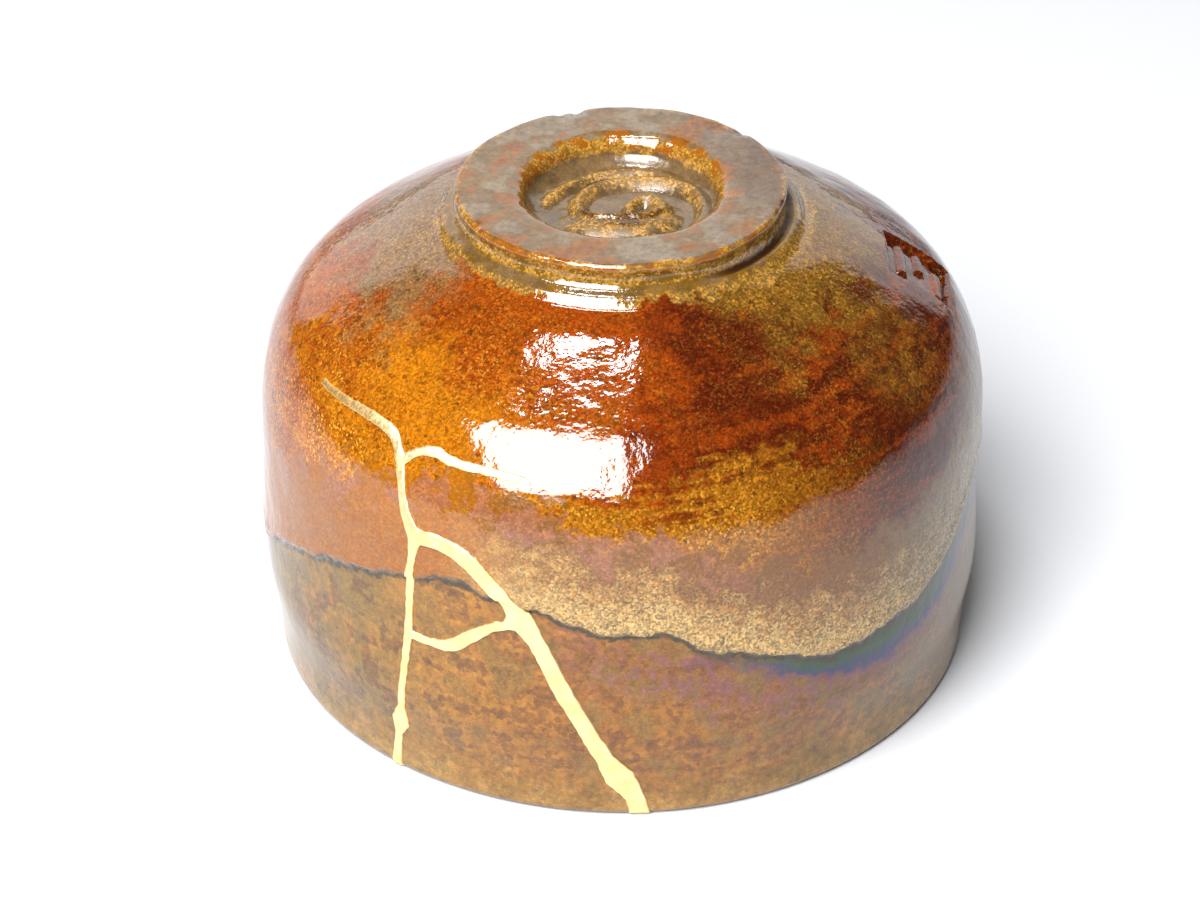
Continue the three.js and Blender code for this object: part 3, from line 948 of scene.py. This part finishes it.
def table_material():
    """Matt white with a fine grain."""
    mix = Recipe(bpy.data.materials.new("White table"))
    relief = mix.clouds(mix.place(), 1.5, 2) * 0.01
    return mix.finish({"Base Color": (0.565, 0.575, 0.6), "Roughness": 0.9, "Normal": mix.bump(relief)})


def hue(name, description, value):
    """A colour that the user can set."""
    return bpy.props.FloatVectorProperty(
        name=name, description=description, default=value, size=3, min=0, max=1, subtype="COLOR")


class KintsugiBowlLook(bpy.types.PropertyGroup):
    """Colours of the glazes and the gold."""
    honey: hue("Honey", "Thick glaze where it is golden", (0.25, 0.075, 0.0012))
    amber: hue("Amber", "Thick glaze between the honey and the red", (0.2, 0.042, 0.0008))
    red_amber: hue("Red amber", "Thick glaze where it is red", (0.145, 0.02, 0.0006))
    chestnut: hue("Chestnut", "Thick glaze at its darkest", (0.052, 0.005, 0.0004))
    # Also used as the painted shadow in the groove at the foot's right.
    dark_amber: hue("Dark amber", "Pits and pooled glaze", (0.03, 0.006, 0.0005))
    gold_brown: hue("Gold brown", "The flecked belly", (0.2, 0.068, 0.003))
    # The flecks' colour is partly a painted glint of the lights off the crystals.
    fleck: hue("Fleck", "Small bright crystals", (0.6, 0.3, 0.03))
    white_fleck: hue("Pale fleck", "Small pale crystals near the edge", (0.6, 0.45, 0.2))
    olive: hue("Olive", "Olive patches", (0.11, 0.055, 0.006))
    pale_crystal: hue("Pale crystals", "Crystals at the edge", (0.32, 0.19, 0.06))
    crystal: hue("Crystals", "Crystals above the edge", (0.26, 0.125, 0.028))
    mauve_crystal: hue("Mauve crystals", "Crystals under the amber", (0.16, 0.062, 0.012))
    olive_crystal: hue("Olive crystals", "Patch of olive crystals", (0.14, 0.072, 0.008))
    grey_crystal: hue("Grey crystals", "Crystals at the right", (0.15, 0.1, 0.035))
    lilac: hue("Lilac", "Milky patches under the amber", (0.22, 0.085, 0.045))
    rosy: hue("Rosy", "Thick glaze near its edge where it is rosy", (0.25, 0.088, 0.008))
    # Painted as the shadow right under the thick glaze's edge.
    line: hue("Edge", "Lower edge of the thick glaze", (0.02, 0.014, 0.002))
    thin: hue("Thin glaze", "Thin lower glaze", (0.2, 0.07, 0.003))
    thin_light: hue("Light thin glaze", "Thin lower glaze where it is light", (0.26, 0.105, 0.008))
    thin_olive: hue("Olive thin glaze", "Thin lower glaze where it is olive", (0.15, 0.085, 0.012))
    thin_dark: hue("Dark thin glaze", "Thin lower glaze in its dark patches", (0.12, 0.035, 0.004))
    thin_pale: hue("Pale thin glaze", "Thin lower glaze at the rim", (0.28, 0.155, 0.035))
    lustre_purple: hue("Purple lustre", "Lustre under the edge", (0.13, 0.04, 0.05))
    lustre_blue: hue("Blue lustre", "Lustre under the edge, in its blue band", (0.01, 0.02, 0.1))
    lustre_teal: hue("Teal lustre", "Lustre right under the edge", (0.002, 0.05, 0.022))
    foot: hue("Foot", "Worn glaze on the foot ring", (0.12, 0.07, 0.028))
    foot_brown: hue("Brown foot", "Brown patches of the foot ring", (0.16, 0.055, 0.006))
    foot_pale: hue("Pale foot", "Pale patches of the foot ring", (0.14, 0.1, 0.06))
    foot_dark: hue("Dark foot", "Foot ring where it is darkest", (0.065, 0.028, 0.008))
    foot_orange: hue("Orange lip", "Lips of the foot ring", (0.2, 0.062, 0.004))
    foot_gold: hue("Gold lip", "Grains on the foot's wall and lips", (0.24, 0.12, 0.018))
    recess: hue("Recess", "Glaze in the recess", (0.08, 0.05, 0.02))
    gold: hue("Gold", "Burnished gold", (1, 0.8, 0.44))
    worn_gold: hue("Worn gold", "Gold where it is thin", (0.85, 0.5, 0.15))


# -------------------- dressing the pieces

def write_above_line(piece):
    """Stores each point's height above the glaze line for the material."""
    heights = above_glaze_line(points_of(piece))
    attribute = piece.data.attributes.new("above_line", "FLOAT", "POINT")
    attribute.data.foreach_set("value", heights.astype(np.float32))


def dress(piece, material, node):
    piece.data.materials.clear()
    piece.data.materials.append(material)
    take(piece)
    bpy.ops.object.shade_smooth_by_angle(angle=math.radians(40))
    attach(piece, "root")
    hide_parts(node)


class BOWL_OT_throw(bpy.types.Operator):
    """Throws, carves, glazes and breaks the bowl"""
    bl_idname = "kintsugi.throw_bowl"
    bl_label = "Bowl and shards"

    def execute(self, context):
        scene = context.scene
        bowl = throw_bowl(scene.kintsugi_bowl)
        press_seal(bowl, scene.kintsugi_bowl)
        carve_swirl(bowl)
        wear_foot(bowl)
        lay_glaze(bowl, scene.kintsugi_bowl)
        whole = bowl.copy()
        whole.data = bowl.data.copy()
        whole.name = "Unbroken"
        scene.collection.objects.link(whole)
        glaze = glaze_material(scene.kintsugi_look)
        pieces = break_bowl(bowl, scene.kintsugi_seam)
        for piece, node in zip(pieces, ("bowl_body", "rim_shard", "wall_shard")):
            write_above_line(piece)
            dress(piece, glaze, node)
        return {"FINISHED"}


class BOWL_OT_mend(bpy.types.Operator):
    """Mends the breaks with gold"""
    bl_idname = "kintsugi.mend_bowl"
    bl_label = "Gold seam"

    def execute(self, context):
        whole = bpy.data.objects["Unbroken"]
        gold = mend(surface_of(whole), context.scene.kintsugi_seam)
        bpy.data.objects.remove(whole)
        dress(gold, gold_material(context.scene.kintsugi_look), "gold_seam")
        return {"FINISHED"}


def softbox(name, middle, across, width, height, radiance):
    """A soft rectangular light that faces the bowl; across is the way that its width runs."""
    light = bpy.data.lights.new(name, "AREA")
    light.shape = "RECTANGLE"
    light.size, light.size_y = width, height
    light.energy = radiance * math.pi * width * height
    lamp = bpy.data.objects.new(name, light)
    back = (Vector(middle) - LIT_POINT).normalized()
    sideways = (Vector(across) - back * back.dot(Vector(across))).normalized()
    axes = Matrix((sideways, back.cross(sideways), back)).transposed()
    lamp.matrix_world = Matrix.Translation(middle) @ axes.to_4x4()
    bpy.context.scene.collection.objects.link(lamp)
    return lamp


def studio_surround():
    """A pale wall behind the table, a dim room elsewhere, and plain white to the camera."""
    room = Recipe(bpy.data.worlds.new("Studio"))
    direction = room.node("ShaderNodeTexCoord", output="Generated")
    x, y, z = room.parts(direction)
    wall = (y * 0.985 + z * 0.174).rise(0.73, 0.79)
    glow = wall * (SURROUND - DIM_ROOM) + DIM_ROOM
    seen = room.node("ShaderNodeLightPath", output="Is Camera Ray")
    strength = glow * (1 - seen) + seen
    light = room.node("ShaderNodeBackground", {}, {"Color": (1, 1, 1), "Strength": strength})
    room.node("ShaderNodeOutputWorld", {}, {"Surface": light})
    bpy.context.scene.world = room.owner


class BOWL_OT_stage(bpy.types.Operator):
    """Sets up the white table, the lights and the camera"""
    bl_idname = "kintsugi.set_stage"
    bl_label = "Stage"

    def execute(self, context):
        take()
        bpy.ops.mesh.primitive_plane_add(size=6)
        table = context.object
        table.name = "Table"
        table.data.materials.append(table_material())
        softbox(
            "Main softbox", (-0.31, -0.59, 0.84), across=(0.95, -0.23, 0.21), width=0.66, height=0.9, radiance=17)
        softbox(
            "Overhead softbox", (-0.13, 0, 0.96), across=(0.98, -0.18, 0), width=0.28, height=0.1, radiance=30)
        studio_surround()
        lens = bpy.data.cameras.new("Camera")
        lens.sensor_width = 36
        lens.lens = LENS
        lens.clip_start = 0.01
        camera = bpy.data.objects.new("Camera", lens)
        back = Vector((0, -math.cos(CAMERA_RISE), math.sin(CAMERA_RISE))) * CAMERA_DISTANCE
        turn = Matrix.Rotation(math.pi / 2 - CAMERA_RISE, 4, "X") @ Matrix.Rotation(-CAMERA_ROLL, 4, "Z")
        camera.matrix_world = Matrix.Translation((CAMERA_TARGET + back) * MM) @ turn
        context.scene.collection.objects.link(camera)
        context.scene.camera = camera
        context.scene.view_settings.view_transform = "Standard"
        return {"FINISHED"}


class BOWL_PT_panel(bpy.types.Panel):
    """Lists the bowl's settings and its steps"""
    bl_idname = "BOWL_PT_panel"
    bl_label = "Kintsugi tea bowl"
    bl_space_type = "VIEW_3D"
    bl_region_type = "UI"
    bl_category = "Bowl"

    def draw(self, context):
        for group in (context.scene.kintsugi_bowl, context.scene.kintsugi_seam, context.scene.kintsugi_look):
            box = self.layout.box()
            for name in group.__annotations__:
                box.prop(group, name)
        for step in STEPS:
            self.layout.operator(step.bl_idname)


STEPS = (BOWL_OT_throw, BOWL_OT_mend, BOWL_OT_stage)
SETTINGS = {
    "kintsugi_bowl": KintsugiBowlForm,
    "kintsugi_seam": KintsugiSeamForm,
    "kintsugi_look": KintsugiBowlLook,
}


def register():
    for group in (*SETTINGS.values(), *STEPS, BOWL_PT_panel):
        bpy.utils.register_class(group)
    for name, group in SETTINGS.items():
        setattr(bpy.types.Scene, name, bpy.props.PointerProperty(type=group))


def unregister():
    for name in SETTINGS:
        delattr(bpy.types.Scene, name)
    for group in reversed((*SETTINGS.values(), *STEPS, BOWL_PT_panel)):
        bpy.utils.unregister_class(group)


def main():
    register()
    bpy.ops.kintsugi.throw_bowl()
    bpy.ops.kintsugi.mend_bowl()
    bpy.ops.kintsugi.set_stage()


if __name__ == "__main__":
    main()
